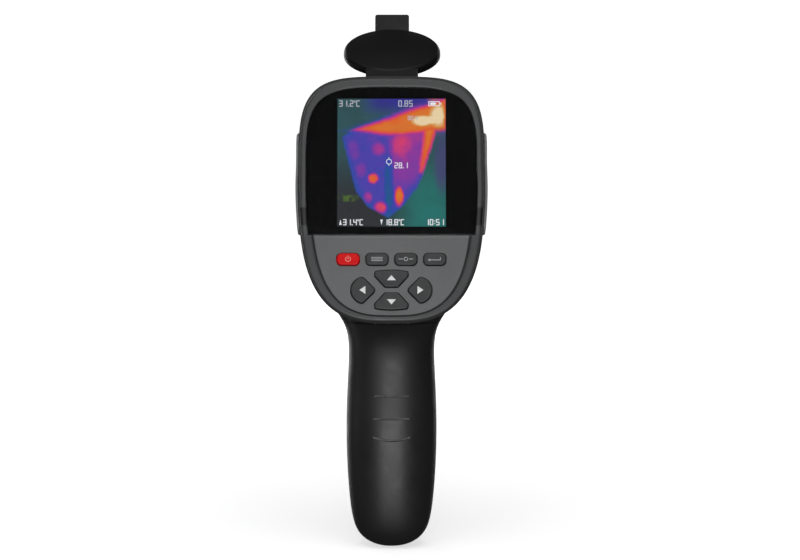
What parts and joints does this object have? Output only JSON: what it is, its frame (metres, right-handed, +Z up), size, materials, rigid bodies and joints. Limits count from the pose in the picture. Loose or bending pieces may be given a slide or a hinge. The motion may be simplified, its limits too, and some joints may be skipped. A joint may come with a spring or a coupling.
{
  "type": "thermal imaging camera",
  "caption": "Handheld thermal imaging camera with pistol grip, display and keypad facing the user, finger trigger and a hinged round lens cover.",
  "frame": {"origin": "mouth of the threaded tripod bush at the centre of the handle base", "axes": "+Z up along the handle to the head, +Y the way the lens looks, +X to the right of the user who faces the display"},
  "size_m": [0.0908, 0.1453, 0.2496],
  "materials": {
    "housing_plastic": "fine grained",
    "grip_plastic": "soft touch",
    "bezel_plastic": "satin",
    "pad_rubber": "matte",
    "window_glass": "clear",
    "mask_print": "gloss",
    "foam": "matte",
    "display_panel": "satin",
    "keypad_plastic": "satin",
    "key_rubber": "matte",
    "power_red": "satin",
    "membrane_silicone": "matte",
    "dome_steel": "bright",
    "circuit_board": "solder mask",
    "chip_black": "matte",
    "frame_plastic": "matte",
    "screw_steel": "zinc plated",
    "brass": "machined",
    "flex_film": "film",
    "core_metal": "anodised",
    "detector_ceramic": "satin",
    "motor_steel": "satin",
    "shutter_black": "matte",
    "germanium": "coated",
    "nose_plastic": "satin",
    "cover_plastic": "satin",
    "seal_felt": "felt",
    "pin_steel": "ground",
    "spring_steel": "wire",
    "trigger_plastic": "satin",
    "battery_wrap": "shrink film",
    "flap_rubber": "matte",
    "wire_insulation": "matte"
  },
  "bodies": {
    "camera": {"battery_cell": "battery_wrap", "battery_wires": "wire_insulation", "bezel": "bezel_plastic", "board_chips": "chip_black", "board_screws": "screw_steel", "board_standoffs": "brass", "camera_window": "window_glass", "contact_holder": "frame_plastic", "contact_leaf": "dome_steel", "contact_spring": "dome_steel", "core_mount": "core_metal", "cover_pin": "pin_steel", "detector": "detector_ceramic", "display_flex": "flex_film", "display_gasket": "foam", "display_module": "display_panel", "display_window": "window_glass", "frame_screws": "screw_steel", "front_housing": "housing_plastic", "handle_rear_shell": "grip_plastic", "handle_screws": "screw_steel", "infrared_lens": "germanium", "inner_frame": "frame_plastic", "key_board": "circuit_board", "key_domes": "dome_steel", "keypad_membrane": "membrane_silicone", "keypad_panel": "keypad_plastic", "left_side_pad": "pad_rubber", "lens_barrel": "core_metal", "lens_ring": "core_metal", "main_board": "circuit_board", "nose_plate": "nose_plastic", "right_side_pad": "pad_rubber", "sensor_housing": "core_metal", "shield_can": "dome_steel", "shutter_motor": "motor_steel", "switch_bracket": "motor_steel", "trigger_pin": "pin_steel", "trigger_spring": "spring_steel", "trigger_switch": "chip_black", "tripod_bush": "brass", "usb_board": "circuit_board", "usb_connector": "dome_steel", "visible_camera": "shutter_black", "window_mask": "mask_print"},
    "lens_cover": {"lens_cover": "cover_plastic", "cover_seal": "seal_felt"},
    "trigger": {"trigger": "trigger_plastic"},
    "battery_door": {"battery_door": "housing_plastic", "door_screw": "screw_steel"},
    "port_flap": {"port_flap": "flap_rubber"},
    "shutter": {"shutter_blade": "shutter_black"},
    "power_key": {"power_key": "power_red"},
    "menu_key": {"menu_key": "key_rubber"},
    "select_key": {"select_key": "key_rubber"},
    "enter_key": {"enter_key": "key_rubber"},
    "up_key": {"up_key": "key_rubber"},
    "down_key": {"down_key": "key_rubber"},
    "left_key": {"left_key": "key_rubber"},
    "right_key": {"right_key": "key_rubber"}
  },
  "joints": [
    {"name": "lens_cover_hinge", "type": "hinge", "parent": "camera", "child": "lens_cover", "pos_m": [0, 0.077, 0.2168], "axis": [1, 0, 0], "range_deg": [-115.5, 0]},
    {"name": "trigger_pull", "type": "hinge", "parent": "camera", "child": "trigger", "pos_m": [0, 0.0245, 0.104], "axis": [1, 0, 0], "range_deg": [-8, 0], "stiffness_Nm_per_rad": 0.2, "springref_deg": 11.46, "deforming": ["trigger_spring"]},
    {"name": "battery_door_lift", "type": "slide", "parent": "camera", "child": "battery_door", "axis": [0, 1, 0], "range_m": [0, 0.03]},
    {"name": "port_flap_hinge", "type": "hinge", "parent": "camera", "child": "port_flap", "pos_m": [0, 0.0249, 0.21915], "axis": [1, 0, 0], "range_deg": [0, 100]},
    {"name": "shutter_swing", "type": "hinge", "parent": "camera", "child": "shutter", "pos_m": [0, 0.0612, 0.175], "axis": [0, 1, 0], "range_deg": [0, 60]},
    {"name": "power_key_press", "type": "slide", "parent": "camera", "child": "power_key", "axis": [0, 0.9397, -0.342], "range_m": [0, 0.0006], "stiffness_N_per_m": 300, "springref_m": -0.001},
    {"name": "menu_key_press", "type": "slide", "parent": "camera", "child": "menu_key", "axis": [0, 0.9397, -0.342], "range_m": [0, 0.0006], "stiffness_N_per_m": 300, "springref_m": -0.001},
    {"name": "select_key_press", "type": "slide", "parent": "camera", "child": "select_key", "axis": [0, 0.9397, -0.342], "range_m": [0, 0.0006], "stiffness_N_per_m": 300, "springref_m": -0.001},
    {"name": "enter_key_press", "type": "slide", "parent": "camera", "child": "enter_key", "axis": [0, 0.9397, -0.342], "range_m": [0, 0.0006], "stiffness_N_per_m": 300, "springref_m": -0.001},
    {"name": "up_key_press", "type": "slide", "parent": "camera", "child": "up_key", "axis": [0, 0.9397, -0.342], "range_m": [0, 0.0006], "stiffness_N_per_m": 300, "springref_m": -0.001},
    {"name": "down_key_press", "type": "slide", "parent": "camera", "child": "down_key", "axis": [0, 0.9397, -0.342], "range_m": [0, 0.0006], "stiffness_N_per_m": 300, "springref_m": -0.001},
    {"name": "left_key_press", "type": "slide", "parent": "camera", "child": "left_key", "axis": [0, 0.9397, -0.342], "range_m": [0, 0.0006], "stiffness_N_per_m": 300, "springref_m": -0.001},
    {"name": "right_key_press", "type": "slide", "parent": "camera", "child": "right_key", "axis": [0, 0.9397, -0.342], "range_m": [0, 0.0006], "stiffness_N_per_m": 300, "springref_m": -0.001}
  ]
}
